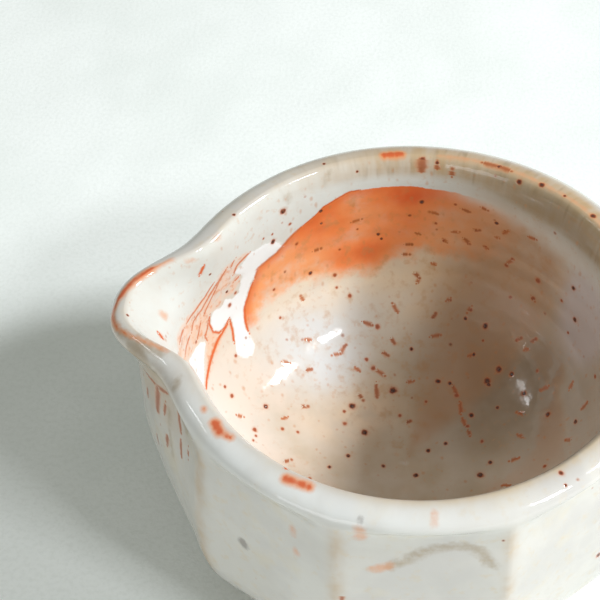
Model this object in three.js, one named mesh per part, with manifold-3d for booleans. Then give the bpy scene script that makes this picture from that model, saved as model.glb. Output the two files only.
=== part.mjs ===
// A hand-faceted stoneware tea pitcher: a thick ten-sided bowl, a short wide spout pulled out of
// its rim, and a turned foot ring. Millimetres, +Z up, the spout points along -X, and the table
// is at z = 0. The bowl and the spout are one continuous wall, parted where the pulled lip begins.
import * as THREE from 'three';
import { mergeVertices } from 'three/addons/utils/BufferGeometryUtils.js';
import Module from 'manifold-3d';

// Sizes that drive the shape
const HEIGHT = 66;                 // table to the crest of the rim
const RIM_RADIUS = 52;             // radius of the rim where it turns from the outside to the top
const FLOOR_THICKNESS = 6;         // clay under the tea
const FOOT_HEIGHT = 5;             // how far the foot ring lifts the bowl
const FOOT_RADIUS = 29;            // outer radius of the foot ring where it meets the bowl
const FOOT_WIDTH = 6.5;            // width of the foot ring's clay where it meets the bowl
const FOOT_TAPER = 0.8;            // how much the foot ring narrows towards the table on its outside
const FOOT_EDGE = 0.9;             // eased edge of the foot ring at the table
const BELLY_SWELL = 2.9;           // how far the belly stands out past the rim radius
const LIP_SWELL = 1.4;             // how far the rim's widest line stands out past the rim radius
const LIP_DROP = 4.5;              // depth of that widest line below the crest
const CREST_INSET = 4.3;           // how far the crest lies inside the rim radius
const INSIDE_INSET = 6.7;          // how far the inside wall lies inside the rim radius
const FACETS = 10;                 // cuts around the wall
const FACET_TURN = -4.5;           // where the ridge under the spout lies, in degrees from its middle
const FACET_DEPTH = 2.3;           // how deep a cut goes at the belly
const RIM_BAND = 5;                // height of the round band that the cuts leave below the crest
const INSIDE_BAND = 8;             // depth inside the rim where its flare ends in a soft shoulder
const RIM_SWELL = 0.8;             // how much fuller the rim is at the side away from the spout
const SPOUT_REACH = 11.3;          // how far the pulled lip stands out past the rim
const SPOUT_ANGLE = 14;            // half angle of the pulled lip, degrees around the bowl
const SPOUT_THINNING = 1.5;        // how much thinner the pull leaves the lip
const SPOUT_DIP = 2;               // how far the tip of the lip lies below the rim
const SPOUT_HALF_WIDTH = 20;       // where the spout is parted from the bowl's wall, each way from y = 0
const SPOUT_DEPTH = 30;            // how far below the crest the pulled part of the wall goes
const SPOUT_ROLL = 9;              // depth over which the lip rolls outward
const SPOUT_DIP_DEPTH = 14;        // depth of the wall that the dip of the lip bends
const SPOUT_ROOT = 30;             // where the parting block ends inside the bowl, from the axis

// Fineness of the surface
const STEPS_IN_FACET = 9;
const STEPS_BESIDE_SPOUT = 18;
const FOOT_STEPS = 72;
const CURVE_STEPS_OUTSIDE = 22;
const CURVE_STEPS_RIM = 8;
const CURVE_STEPS_INSIDE = 13;

const CREST_RADIUS = RIM_RADIUS - CREST_INSET;
const INSIDE_RADIUS = RIM_RADIUS - INSIDE_INSET;
const WALL_RADIUS = RIM_RADIUS + BELLY_SWELL;
const LIP_RADIUS = RIM_RADIUS + LIP_SWELL;
const FLOOR_Z = FOOT_HEIGHT + FLOOR_THICKNESS;
const FACET_ANGLE = 360 / FACETS;

const glaze = new THREE.MeshStandardMaterial({ color: 0xe6e0d6, roughness: 0.15, metalness: 0 });
const spoutGlaze = new THREE.MeshStandardMaterial({ color: 0xeae3d8, roughness: 0.15, metalness: 0 });
const bareClay = new THREE.MeshStandardMaterial({ color: 0xb98a63, roughness: 0.7, metalness: 0 });

const smooth = (from, to, value) => THREE.MathUtils.smoothstep(value, from, to);
const bell = (value, width, power) => Math.exp(-Math.pow(Math.abs(value) / width, power));

// Radius and height of the wall before it is faceted and pulled, as points along smooth curves
function sectionCurves() {
  const outside = new THREE.SplineCurve([
    new THREE.Vector2(FOOT_RADIUS + 1.5, FOOT_HEIGHT),
    new THREE.Vector2(WALL_RADIUS * 0.80, FOOT_HEIGHT + 2.2),
    new THREE.Vector2(WALL_RADIUS * 0.945, FOOT_HEIGHT + 7.5),
    new THREE.Vector2(WALL_RADIUS * 0.995, FOOT_HEIGHT + 16),
    new THREE.Vector2(WALL_RADIUS, FOOT_HEIGHT + 28),
    new THREE.Vector2(WALL_RADIUS * 0.99, HEIGHT * 0.72),
    new THREE.Vector2(WALL_RADIUS * 0.972, HEIGHT - 11),
    new THREE.Vector2(LIP_RADIUS, HEIGHT - LIP_DROP),
  ]);
  const rim = new THREE.CubicBezierCurve(
    new THREE.Vector2(LIP_RADIUS, HEIGHT - LIP_DROP),
    new THREE.Vector2(LIP_RADIUS + 0.1, HEIGHT - LIP_DROP * 0.3),
    new THREE.Vector2(CREST_RADIUS + CREST_INSET * 0.7, HEIGHT),
    new THREE.Vector2(CREST_RADIUS, HEIGHT),
  );
  const inside = new THREE.SplineCurve([
    new THREE.Vector2(CREST_RADIUS, HEIGHT),
    new THREE.Vector2(CREST_RADIUS - 1.5, HEIGHT - 2),
    new THREE.Vector2(INSIDE_RADIUS, HEIGHT - INSIDE_BAND),
    new THREE.Vector2(INSIDE_RADIUS - 0.4, HEIGHT * 0.65),
    new THREE.Vector2(INSIDE_RADIUS * 0.92, FLOOR_Z + 19),
    new THREE.Vector2(INSIDE_RADIUS * 0.73, FLOOR_Z + 8.7),
    new THREE.Vector2(INSIDE_RADIUS * 0.42, FLOOR_Z + 2.2),
    new THREE.Vector2(0, FLOOR_Z),
  ]);
  return { outside, rim, inside };
}

// Rings from the middle of the underside, up the outside, over the rim and down to the floor
function wallRings() {
  const { outside, rim, inside } = sectionCurves();
  const rings = [];
  const add = (points, skin) => points.forEach((p) => rings.push({ radius: p.x, z: p.y, skin }));
  add(outside.getSpacedPoints(CURVE_STEPS_OUTSIDE), 'outside');
  add(rim.getSpacedPoints(CURVE_STEPS_RIM).slice(1), 'outside');
  add(inside.getSpacedPoints(CURVE_STEPS_INSIDE).slice(1, -1), 'inside');
  return rings;
}

// Share of the wall's radius that the facet cuts leave at an angle from the spout
function facetShare(degrees, z) {
  const fromMiddle = ((degrees - FACET_TURN) % FACET_ANGLE) - FACET_ANGLE / 2;
  const deepest = 1 - FACET_DEPTH / WALL_RADIUS;
  const flat = Math.min(1, deepest / Math.cos(THREE.MathUtils.degToRad(fromMiddle)));
  const cut = 1 - smooth(HEIGHT - RIM_BAND - 2, HEIGHT - RIM_BAND + 3, z);
  return 1 - (1 - flat) * cut;
}

// How far the pull that makes the spout moves the wall outward
function spoutPull(degrees, ring) {
  const depth = HEIGHT - ring.z;
  const overRim = (RIM_RADIUS - ring.radius) / (RIM_RADIUS - CREST_RADIUS);
  const roll = bell(depth, SPOUT_ROLL, 2);
  const thinning = ring.skin === 'inside' ? 1 : THREE.MathUtils.clamp(overRim, 0, 1) * roll;
  const fade = 0.6 * roll + 0.4 * (1 - smooth(SPOUT_DEPTH, HEIGHT, depth));
  const angle = SPOUT_ANGLE * (1 + 1.2 * smooth(0, SPOUT_DEPTH, depth));
  return (SPOUT_REACH + SPOUT_THINNING * thinning) * fade * bell(degrees, angle, 2.6);
}

// The thrown rim isn't quite round: it is fuller at the back, on the +Y side
function rimSwell(degrees, z) {
  const upward = smooth(HEIGHT - 12, HEIGHT - 5, z) * (1 - smooth(HEIGHT - 2, HEIGHT, z));
  return RIM_SWELL * upward * bell(degrees - 130, 45, 2);
}

function wallPoint(ring, degrees) {
  const fromSpout = degrees > 180 ? degrees - 360 : degrees;
  const faceted = ring.radius * facetShare(degrees, ring.z) + rimSwell(fromSpout, ring.z);
  const radius = (ring.skin === 'outside' ? faceted : ring.radius) + spoutPull(fromSpout, ring);
  const dipped = smooth(HEIGHT - SPOUT_DIP_DEPTH, HEIGHT, ring.z);
  const dip = SPOUT_DIP * bell(fromSpout, SPOUT_ANGLE, 2) * dipped;
  const angle = THREE.MathUtils.degToRad(180 - degrees);
  return [radius * Math.cos(angle), radius * Math.sin(angle), ring.z - dip];
}

// Angles from the spout at which the wall is drawn, every ridge between two facets among them
function anglesAround() {
  const angles = [];
  for (let facet = 0; facet < FACETS; facet += 1) {
    const besideSpout = facet === 0 || facet === FACETS - 1;
    const steps = besideSpout ? STEPS_BESIDE_SPOUT : STEPS_IN_FACET;
    for (let step = 0; step < steps; step += 1) {
      angles.push(FACET_TURN + FACET_ANGLE * (facet + step / steps));
    }
  }
  return angles;
}

// One closed skin: every ring turned around the axis, with a point in the middle at both ends
function wallGeometry() {
  const rings = wallRings();
  const angles = anglesAround();
  const around = angles.length;
  const positions = [0, 0, FOOT_HEIGHT];
  for (const ring of rings) {
    angles.forEach((degrees) => positions.push(...wallPoint(ring, degrees)));
  }
  const last = positions.length / 3;
  positions.push(0, 0, FLOOR_Z);
  const at = (ring, step) => 1 + ring * around + (step % around);
  const faces = [];
  for (let step = 0; step < around; step += 1) {
    faces.push(0, at(0, step), at(0, step + 1));
    for (let ring = 0; ring + 1 < rings.length; ring += 1) {
      faces.push(at(ring, step), at(ring + 1, step), at(ring + 1, step + 1));
      faces.push(at(ring, step), at(ring + 1, step + 1), at(ring, step + 1));
    }
    faces.push(at(rings.length - 1, step), last, at(rings.length - 1, step + 1));
  }
  const geometry = new THREE.BufferGeometry();
  geometry.setAttribute('position', new THREE.Float32BufferAttribute(positions, 3));
  geometry.setIndex(faces);
  return geometry;
}

// The block that parts the spout from the bowl; its inner side stands in the open bowl
function partingBlock() {
  const length = RIM_RADIUS + 2 * SPOUT_REACH - SPOUT_ROOT;
  const tall = 2 * SPOUT_DEPTH;
  const block = new THREE.BoxGeometry(length, 2 * SPOUT_HALF_WIDTH, tall);
  return block.translate(-SPOUT_ROOT - length / 2, 0, HEIGHT);
}

const wasm = await Module();
wasm.setup();

function toSolid(geometry) {
  const bare = geometry.clone();
  bare.deleteAttribute('normal');
  bare.deleteAttribute('uv');
  const merged = mergeVertices(bare, 1e-4);
  const vertProperties = new Float32Array(merged.attributes.position.array);
  const triVerts = new Uint32Array(merged.index.array);
  return new wasm.Manifold(new wasm.Mesh({ numProp: 3, vertProperties, triVerts }));
}

function toGeometry(solid) {
  const mesh = solid.getMesh();
  const geometry = new THREE.BufferGeometry();
  geometry.setAttribute('position', new THREE.BufferAttribute(mesh.vertProperties, 3));
  geometry.setIndex(new THREE.BufferAttribute(mesh.triVerts, 1));
  geometry.computeVertexNormals();
  return geometry;
}

// A turned ring, slightly narrower at the table, its edges eased
function footGeometry() {
  const inner = FOOT_RADIUS - FOOT_WIDTH;
  const outerAtTable = FOOT_RADIUS - FOOT_TAPER;
  const innerAtTable = inner + FOOT_TAPER / 2;
  const profile = [
    [inner, FOOT_HEIGHT],
    [innerAtTable, FOOT_EDGE],
    [innerAtTable + FOOT_EDGE, 0],
    [outerAtTable - FOOT_EDGE, 0],
    [outerAtTable, FOOT_EDGE],
    [FOOT_RADIUS, FOOT_HEIGHT],
    [inner, FOOT_HEIGHT],
  ].map(([radius, z]) => new THREE.Vector2(radius, z));
  return new THREE.LatheGeometry(profile, FOOT_STEPS).rotateX(Math.PI / 2);
}

function named(name, geometry, material) {
  const mesh = new THREE.Mesh(geometry, material);
  mesh.name = name;
  return mesh;
}

const wall = toSolid(wallGeometry());
const block = toSolid(partingBlock());

const pitcher = new THREE.Group();
pitcher.add(named('bowl', toGeometry(wall.subtract(block)), glaze));
pitcher.add(named('spout', toGeometry(wall.intersect(block)), spoutGlaze));
pitcher.add(named('foot_ring', footGeometry(), bareClay));
pitcher.position.x = -new THREE.Box3().setFromObject(pitcher).getCenter(new THREE.Vector3()).x;

export default pitcher;
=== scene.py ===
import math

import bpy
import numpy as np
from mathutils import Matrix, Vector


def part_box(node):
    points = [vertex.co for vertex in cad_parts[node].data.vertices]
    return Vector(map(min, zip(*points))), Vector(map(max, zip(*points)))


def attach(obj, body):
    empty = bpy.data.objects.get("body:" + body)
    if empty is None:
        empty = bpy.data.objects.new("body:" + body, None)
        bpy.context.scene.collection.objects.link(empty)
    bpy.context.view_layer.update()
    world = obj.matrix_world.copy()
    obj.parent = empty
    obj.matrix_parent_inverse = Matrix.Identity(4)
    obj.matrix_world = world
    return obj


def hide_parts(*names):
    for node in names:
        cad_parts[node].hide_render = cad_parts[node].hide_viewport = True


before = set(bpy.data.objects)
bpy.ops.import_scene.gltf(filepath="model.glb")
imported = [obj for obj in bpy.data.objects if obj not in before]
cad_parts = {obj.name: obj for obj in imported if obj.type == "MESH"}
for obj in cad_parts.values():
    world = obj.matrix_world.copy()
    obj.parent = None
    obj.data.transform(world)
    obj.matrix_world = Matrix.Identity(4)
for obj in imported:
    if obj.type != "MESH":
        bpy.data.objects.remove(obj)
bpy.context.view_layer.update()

# %% [markdown]
# # A faceted stoneware tea pitcher
# One piece of fired clay: a thick bowl cut into ten facets, a lip pulled out of its rim, a turned
# foot ring. The glaze is white and glossy over iron-speckled clay, with an orange-red blush
# inside. Shapes are worked out in millimetres from the bowl's axis and turned to metres at the end.

MM = 0.001
foot_low, foot_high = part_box("foot_ring")
bowl_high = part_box("bowl")[1]
AXIS_X = (foot_low.x + foot_high.x) / 2 / MM
HEIGHT = bowl_high.z / MM
FOOT_HEIGHT = foot_high.z / MM
FOOT_RADIUS = (foot_high.x - foot_low.x) / 2 / MM
print("bowl axis x", round(AXIS_X, 2), "height", round(HEIGHT, 2), "foot radius", round(FOOT_RADIUS, 2))

# %% Sizes of the wall, the same as the part's own
RIM_RADIUS = 52
GLAZE_INSET = 0.08  # the outside is drawn in by this, so that nothing leaves the solids' box
WALL_RADIUS = RIM_RADIUS + 2.9
LIP_RADIUS = RIM_RADIUS + 1.4
LIP_DROP = 4.5
CREST_INSET = 4.3
CREST_RADIUS = RIM_RADIUS - CREST_INSET
INSIDE_RADIUS = RIM_RADIUS - 6.7
FLOOR_Z = FOOT_HEIGHT + 6
FOOT_FILLET = 1.5
RIM_BAND = 5
INSIDE_BAND = 8
RIM_SWELL = 0.8
FACETS = 10
FACET_TURN = -4.5
FACET_ANGLE = 360 / FACETS
FACET_DEPTH = 2.3
RIDGE_SOFTNESS = 0.22
SPOUT_REACH = 11.3
SPOUT_ANGLE = 14
SPOUT_WIDENING = 1.2
SPOUT_SHOULDER = 2.6
SPOUT_THINNING = 1.5
SPOUT_DIP = 2
SPOUT_DEPTH = 30
SPOUT_ROLL = 9
print("wall radius", WALL_RADIUS, "crest radius", CREST_RADIUS, "inside radius", INSIDE_RADIUS)

# %% [markdown]
# ## The section of the wall
# Cut through, the wall shows one line that goes up the outside, over the round rim and down to
# the floor inside. A Screw modifier could turn such a line into a bowl, but facets and spout bend
# each ring in their own way, so the rings are worked out one by one. The curves are the part's
# own, sampled finely. The rings stand closer where the coloured glazes have their borders, so
# that those borders come out smooth.

# %% Curves of the section
AROUND = 480
STEPS_UNDER = 6
STEPS_OUTSIDE = 60
STEPS_RIM = 20
STEPS_INSIDE = 112
FINE_STRETCH = (8, 44)


def spaced(points, steps, fine=None):
    """Points along a dense line at equal steps, half as far apart in a fine stretch of it."""
    lengths = np.hypot(*np.diff(points, axis=0).T)
    walked = np.concatenate([[0], np.cumsum(lengths)])
    if fine:
        lengths = np.where((walked[1:] > fine[0]) & (walked[1:] < fine[1]), 2 * lengths, lengths)
    counted = np.concatenate([[0], np.cumsum(lengths)])
    wanted = np.linspace(0, counted[-1], steps + 1)
    return np.stack([np.interp(wanted, counted, points[:, k]) for k in (0, 1)], axis=1)


def spline(points):
    """A dense smooth curve through the points (Catmull-Rom)."""
    p = np.array(points, float)
    p = np.vstack([p[:1], p, p[-1:]])
    t = np.linspace(0, 1, 60)[:, None]
    parts = []
    for a, b, c, d in zip(p, p[1:], p[2:], p[3:]):
        v0, v1 = (c - a) / 2, (d - b) / 2
        cubic, square = 2 * b - 2 * c + v0 + v1, 3 * c - 3 * b - 2 * v0 - v1
        parts.append(cubic * t ** 3 + square * t ** 2 + v0 * t + b)
    return np.vstack(parts)


def bezier(a, b, c, d):
    """A dense cubic curve from a to d that starts toward b and arrives from c."""
    t = np.linspace(0, 1, 200)[:, None]
    a, b, c, d = (np.array(p, float) for p in (a, b, c, d))
    return a * (1 - t) ** 3 + 3 * b * t * (1 - t) ** 2 + 3 * c * t ** 2 * (1 - t) + d * t ** 3


outside = spaced(spline([
    (FOOT_RADIUS + FOOT_FILLET, FOOT_HEIGHT),
    (WALL_RADIUS * 0.80, FOOT_HEIGHT + 2.2),
    (WALL_RADIUS * 0.945, FOOT_HEIGHT + 7.5),
    (WALL_RADIUS * 0.995, FOOT_HEIGHT + 16),
    (WALL_RADIUS, FOOT_HEIGHT + 28),
    (WALL_RADIUS * 0.99, HEIGHT * 0.72),
    (WALL_RADIUS * 0.972, HEIGHT - 11),
    (LIP_RADIUS, HEIGHT - LIP_DROP),
]), STEPS_OUTSIDE)
rim = spaced(bezier((LIP_RADIUS, HEIGHT - LIP_DROP), (LIP_RADIUS + 0.1, HEIGHT - LIP_DROP * 0.3),
                    (CREST_RADIUS + CREST_INSET * 0.7, HEIGHT), (CREST_RADIUS, HEIGHT)), STEPS_RIM)
inside = spaced(spline([
    (CREST_RADIUS, HEIGHT),
    (CREST_RADIUS - 1.5, HEIGHT - 2),
    (INSIDE_RADIUS, HEIGHT - INSIDE_BAND),
    (INSIDE_RADIUS - 0.4, HEIGHT * 0.65),
    (INSIDE_RADIUS * 0.92, FLOOR_Z + 19),
    (INSIDE_RADIUS * 0.73, FLOOR_Z + 8.7),
    (INSIDE_RADIUS * 0.42, FLOOR_Z + 2.2),
    (0, FLOOR_Z),
]), STEPS_INSIDE, FINE_STRETCH)
under_radius = np.linspace(0, FOOT_RADIUS + FOOT_FILLET, STEPS_UNDER + 1)[1:-1]
under = np.stack([under_radius, np.full(STEPS_UNDER - 1, FOOT_HEIGHT)], axis=1)
section = np.vstack([under, outside, rim[1:], inside[1:-1]])
is_inside = np.arange(len(section)) >= len(section) - (STEPS_INSIDE - 1)
print("section rings", len(section), "triangles", 2 * AROUND * len(section))

# %% [markdown]
# ## The faceted and pulled wall
# A facet is a flat cut off the round wall. Each cut is a little deeper or shallower than the
# next, the rim is a hair uneven, and faint throwing rings run round the inside. The spout is
# pulled out of the rim while the clay is wet. Boolean cuts and a sculpted lip would do it too,
# but a formula for the radius gives soft ridges without any stray face.

# %% Facets
THROWING_DEPTH = 0.05
THROWING_PITCH = 5.2
RIM_UNEVEN = 0.2
generator = np.random.default_rng(11)
facet_uneven = generator.uniform(-0.35, 0.2, FACETS)
rim_phase = generator.uniform(0, 2 * math.pi, 4)


def smooth(low, high, value):
    """Nothing below the low value, one above the high one, and an S-curve between them."""
    t = np.clip((value - low) / (high - low), 0, 1)
    return t * t * (3 - 2 * t)


def bell(value, width, power):
    """One at zero, fading on both sides; a higher power gives a flatter top and steeper sides."""
    return np.exp(-(np.abs(value) / width) ** power)


def facet_radius(degrees, radius, z):
    """The wall's radius once the facets are cut, with softened ridges."""
    turned = degrees - FACET_TURN
    index = (turned // FACET_ANGLE).astype(int) % FACETS
    from_middle = np.radians(turned % FACET_ANGLE - FACET_ANGLE / 2)
    share = radius / WALL_RADIUS
    flat = (radius - (FACET_DEPTH - facet_uneven[index]) * share) / np.cos(from_middle)
    uncut = radius + RIDGE_SOFTNESS * 0.1
    cut = -RIDGE_SOFTNESS * np.logaddexp(-flat / RIDGE_SOFTNESS, -uncut / RIDGE_SOFTNESS)
    amount = 1 - smooth(HEIGHT - RIM_BAND - 2, HEIGHT - RIM_BAND + 3, z)
    return radius + (np.minimum(cut, radius) - radius) * amount


print("facets are cut deeper (+) or shallower by", np.round(-facet_uneven, 2), "mm")


# %% The spout, and the whole surface
def spout_pull(from_spout, radius, z, skin):
    """How far the pull that makes the spout moves the wall outward."""
    depth = HEIGHT - z
    roll = bell(depth, SPOUT_ROLL, 2)
    over_rim = np.clip((RIM_RADIUS - radius) / CREST_INSET, 0, 1) * roll
    fade = 0.6 * roll + 0.4 * (1 - smooth(SPOUT_DEPTH, HEIGHT, depth))
    angle = SPOUT_ANGLE * (1 + SPOUT_WIDENING * smooth(0, SPOUT_DEPTH, depth))
    reach = SPOUT_REACH + SPOUT_THINNING * np.where(skin, 1.0, over_rim)
    return reach * fade * bell(from_spout, angle, SPOUT_SHOULDER)


def wall_place(degrees, radius, z, skin):
    """Where a point of the section lies once it is turned to an angle from the spout."""
    from_spout = np.where(degrees > 180, degrees - 360, degrees)
    turned = np.radians(degrees)
    upward = smooth(HEIGHT - 12, HEIGHT - 5, z) * (1 - smooth(HEIGHT - 2, HEIGHT, z))
    outer = facet_radius(degrees, radius, z) + RIM_SWELL * upward * bell(from_spout - 130, 45, 2)
    rings = np.sin(2 * math.pi * (HEIGHT - z) / THROWING_PITCH + turned)
    throwing = THROWING_DEPTH * rings * smooth(12, 18, HEIGHT - z)
    reach = np.where(skin, radius - throwing * smooth(4, 20, radius), outer)
    pulled = reach + spout_pull(from_spout, radius, z, skin) - GLAZE_INSET * ~np.asarray(skin)
    reach = np.where(z > FOOT_HEIGHT + 0.01, pulled, radius)
    waves = sum(np.sin((k + 2) * turned + phase) for k, phase in enumerate(rim_phase)) / 4 - 1
    dip = SPOUT_DIP * bell(from_spout, SPOUT_ANGLE, 2) * smooth(HEIGHT - 14, HEIGHT, z)
    height = z - dip + RIM_UNEVEN * waves * smooth(HEIGHT - 12, HEIGHT, z)
    angle = math.pi - turned
    return np.stack([reach * np.cos(angle) + AXIS_X, reach * np.sin(angle), height], axis=-1)


degrees_of, ring_of = np.meshgrid(np.arange(AROUND) * 360 / AROUND, np.arange(len(section)))
wall_grid = wall_place(degrees_of, section[ring_of, 0], section[ring_of, 1], is_inside[ring_of])
print("wall spans", np.round(np.ptp(wall_grid.reshape(-1, 3), axis=0), 2), "mm")


# %% [markdown]
# ## Places on the wall
# A mark on the wall is placed as a potter would say it: so many degrees round from the spout,
# so many millimetres along the wall from the crest, on the inside or the outside. Degrees count
# as plus on the side away from the camera. Coordinates would do as well, but nobody could draw
# with them by eye.

# %% Places on the wall
def along_skin(side):
    """The section from the crest, inward or outward, with the distance walked along it."""
    line = inside if side == "in" else np.vstack([rim[::-1], outside[-2::-1]])
    walked = np.concatenate([[0], np.cumsum(np.hypot(*np.diff(line, axis=0).T))])
    return line, walked


FAR_AWAY = 200.0
skins = {side: along_skin(side) for side in ("in", "out")}
far_under = np.full(STEPS_UNDER - 1, FAR_AWAY)
skin_distance = np.concatenate([far_under, skins["out"][1][::-1], skins["in"][1][1:-1]])


def spots(side, marks):
    """Points on one skin, each from its angle from the spout and its distance from the crest."""
    line, walked = skins[side]
    marks = np.array(marks, float)
    radius = np.interp(marks[:, 1], walked, line[:, 0])
    z = np.interp(marks[:, 1], walked, line[:, 1])
    return wall_place(marks[:, 0] % 360, radius, z, np.full(len(marks), side == "in"))


print("along the skins", {side: round(walked[-1], 1) for side, (line, walked) in skins.items()}, "mm")


# %% [markdown]
# ## From points to a mesh
# The rings of points become quads, each joined to the next ring, and a fan of triangles closes
# each end on the axis. Written out by index, the mesh has no doubles to merge and every face
# looks outward. All pieces stay at the origin, so that patterns keep their place on them.

# %% Meshes
def grid_faces(rings, around, first):
    """The quads between closed rings of points, the first point having the index first."""
    ring, step = np.meshgrid(np.arange(rings - 1), np.arange(around), indexing="ij")
    after = (step + 1) % around
    low, high = first + ring * around, first + (ring + 1) * around
    corners = low + step, high + step, high + after, low + after
    return np.stack(corners, axis=-1).reshape(-1, 4)


def in_scene(name, data):
    """A new object of the scene with this mesh, lamp or camera."""
    piece = bpy.data.objects.new(name, data)
    bpy.context.scene.collection.objects.link(piece)
    return piece


def make_object(name, vertices, faces, material):
    """A smooth-shaded mesh from points in millimetres, with its material."""
    mesh = bpy.data.meshes.new(name)
    mesh.from_pydata((np.asarray(vertices) * MM).tolist(), [], [list(map(int, f)) for f in faces])
    mesh.validate()
    mesh.shade_smooth()
    mesh.materials.append(material)
    return in_scene(name, mesh)


def wall_mesh(material):
    """The whole skin of the wall, closed by a point on the axis below and one on the floor."""
    vertices = np.vstack([[AXIS_X, 0, FOOT_HEIGHT], wall_grid.reshape(-1, 3), [AXIS_X, 0, FLOOR_Z]])
    last = len(vertices) - 1
    quads = grid_faces(len(section), AROUND, 1)
    step = np.arange(AROUND)
    after = (step + 1) % AROUND
    top = 1 + (len(section) - 1) * AROUND
    below = np.stack([np.zeros(AROUND, int), 1 + step, 1 + after], axis=1)
    above = np.stack([top + step, np.full(AROUND, last), top + after], axis=1)
    return make_object("glazed_wall", vertices, [*below, *quads, *above], material)


print("quads of the wall", len(grid_faces(len(section), AROUND, 1)))


# %% [markdown]
# ## Where the kiln left its marks
# Iron in the clay bleeds into the glaze as dark specks and rust-red ones, and where the glaze
# crawled it left short rusty dashes and lines. The marks are drawn, and those that are out of
# sight are guessed in the same style. Painting them on the vertices would blur them to the size
# of a mesh cell. So every face stores the nearest place on the nearest mark, with the way the
# mark runs there, and the material measures the distance from that place. The edge then
# stays crisp at any zoom.

# %% Specks
IRON_SPECKS = [  # degrees, millimetres from the crest, radius; all on the inside
    (118.5, 44.5, 0.75), (110.5, 44.5, 0.5), (132.5, 52, 0.8), (138.5, 51, 0.6), (131.5, 56, 0.85),
    (133, 56.5, 0.6), (149, 52, 0.65), (144, 21, 0.65), (148, 28.5, 0.65), (119, 52, 0.5),
    (114.5, 61, 0.6), (146, 59, 0.45), (164, 49.5, 0.7), (114.5, 15.5, 0.5), (79, 65, 0.9),
    (46.5, 65.5, 0.8), (37, 73, 0.8), (90.5, 54.5, 0.5), (55.5, 30, 0.55), (78.5, 23.5, 0.5),
    (79.5, 25, 0.35), (91.5, 13.5, 0.65), (107.5, 61.5, 0.6), (139, 65, 0.6), (174, 43, 0.6),
    (-168.5, 67.5, 0.8), (-179.5, 65.5, 0.55), (148.5, 74.5, 0.5), (145, 79, 0.55), (2, 73, 0.55),
    (-11, 68.5, 0.5), (-124, 81, 0.65), (-15.5, 81, 0.5), (14, 51.5, 0.6), (48, 7, 0.8),
    (43.5, 14.5, 0.7), (60.5, 12, 0.5), (60.5, 16, 0.4), (25.5, 20.5, 0.4), (-30, 40, 0.5),
    (-60, 33, 0.6), (-95, 45, 0.6), (-130, 30, 0.5), (-150, 52, 0.7), (-80, 60, 0.5), (-165, 36, 0.6),
    (-110, 24, 0.45), (-45, 55, 0.5), (-70, 18, 0.55), (-142, 14, 0.5),
]
RUST_SPECKS = [  # as above, but red-brown to the middle
    (119.5, 27, 0.55), (121, 24.5, 0.4), (131, 26.5, 0.7), (131, 32, 0.6), (138, 40.5, 0.45),
    (122, 63, 0.55), (106.5, 24.5, 0.4), (99, 25, 0.45), (101.5, 13, 0.35), (117.5, 17, 0.35),
    (112, 24, 0.35), (103.5, 41, 0.35), (111.5, 42, 0.45), (123.5, 35, 0.4), (141, 27, 0.45),
    (147.5, 33, 0.35), (146, 46, 0.4), (70, 58.5, 0.6), (68, 56, 0.45), (76, 48.5, 0.6),
    (67.5, 39.5, 0.5), (63.5, 33, 0.5), (63.5, 36.5, 0.4), (52, 19.5, 0.45), (42, 29.5, 0.4),
    (41, 37.5, 0.35), (88, 18, 0.4), (82, 72, 0.45), (32, 68, 0.55), (39.5, 65.5, 0.4), (9.5, 43.5, 0.5),
    (10.5, 41, 0.4), (2, 51, 0.55), (-0.5, 51.5, 0.35), (-3, 51, 0.35), (8, 57, 0.45), (10, 60.5, 0.4),
    (21, 38.5, 0.45), (26, 25.5, 0.55), (28.5, 23, 0.45), (10.5, 25.5, 0.4), (104, 67.5, 0.4),
    (144, 67.5, 0.45), (161.5, 66.5, 0.45), (50, 12, 0.4), (43.5, 12, 0.3), (40, 11.5, 0.3),
    (132, 43.5, 0.45), (120, 48, 0.3), (96, 20, 0.35), (72, 21, 0.3), (66, 26, 0.35), (-20, 63, 0.45),
    (-38, 47, 0.4), (-55, 62, 0.5), (-74, 41, 0.45), (-90, 28, 0.5), (-104, 58, 0.45), (-118, 43, 0.5),
    (-136, 62, 0.45), (-155, 27, 0.5), (178, 25, 0.5), (166, 33, 0.45), (-172, 52, 0.45), (-50, 22, 0.45),
    (-125, 15, 0.4),
]
RIM_SPECKS = [  # on the rim and the outside: side, degrees, millimetres from the crest, radius
    ("in", 91, 1.2, 0.75), ("in", 95.3, 1.6, 0.45), ("in", 99.7, 3.6, 0.45), ("out", 112.4, 0.6, 0.7),
    ("in", 119.2, 1.4, 0.65), ("out", 125.5, 0.2, 0.65), ("out", 132.6, 0.6, 0.4),
    ("out", 142.6, 0.8, 0.7), ("out", 63.5, 0.9, 0.35), ("in", 72.3, 3.1, 0.3), ("in", 19, 9.6, 0.3),
    ("out", 32.5, 0.2, 0.35), ("in", -3.3, 0.8, 0.35), ("out", -126, 1.3, 0.55),
    ("out", -125.3, 3.7, 0.3), ("out", 60, 9, 0.6), ("out", 95, 22, 0.7), ("out", 128, 12, 0.5),
    ("out", 158, 30, 0.8), ("out", -160, 20, 0.6), ("out", -140, 40, 0.7), ("out", 40, 33, 0.6),
    ("out", 75, 44, 0.7), ("out", 112, 38, 0.5), ("out", 176, 12, 0.6), ("out", -20, 44, 0.5),
    ("in", -168, 1, 0.5),
]
print("specks of iron", len(IRON_SPECKS), "of rust", len(RUST_SPECKS), "on the rim", len(RIM_SPECKS))

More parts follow.
